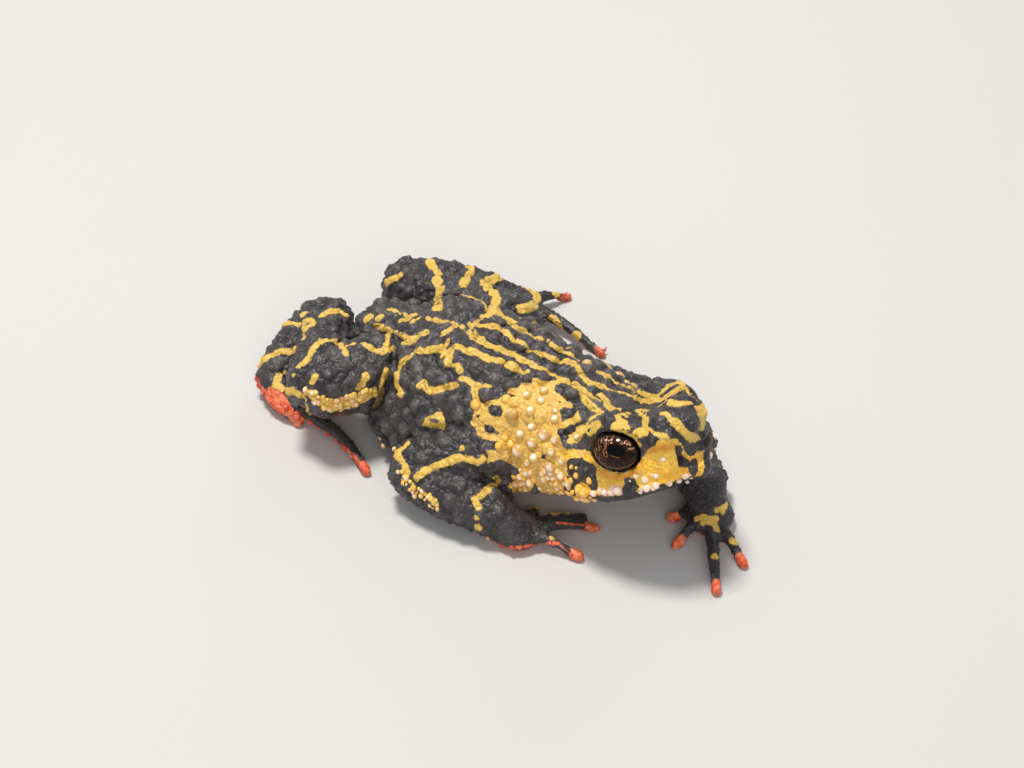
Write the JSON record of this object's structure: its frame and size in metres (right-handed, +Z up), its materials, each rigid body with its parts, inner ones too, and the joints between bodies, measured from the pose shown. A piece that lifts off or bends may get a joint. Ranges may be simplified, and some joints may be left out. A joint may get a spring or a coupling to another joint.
{
  "type": "melanophryniscus spectabilis toad",
  "caption": "Life-size still model of a small warty toad, black with yellow stripes, red soles and dark eyes, sitting with its head raised.",
  "frame": {"origin": "on the floor, on the flat under the middle of the belly, in the body's middle plane", "axes": "+X towards the snout, +Y towards the toad's left side, +Z up from the floor"},
  "size_m": [0.0455, 0.0302, 0.0146],
  "materials": {
    "skin": "matt warty skin, charcoal black with yellow stripes, red palms and soles",
    "eye": "wet gloss, dark brown with coppery flecks"
  },
  "bodies": {
    "root": {"torso": "skin", "head": "skin", "eye_L": "eye", "eye_R": "eye", "upper_arm_L": "skin", "forearm_L": "skin", "hand_L": "skin", "upper_arm_R": "skin", "forearm_R": "skin", "hand_R": "skin", "thigh_L": "skin", "shank_L": "skin", "tarsus_L": "skin", "foot_L": "skin", "thigh_R": "skin", "shank_R": "skin", "tarsus_R": "skin", "foot_R": "skin"}
  },
  "joints": []
}
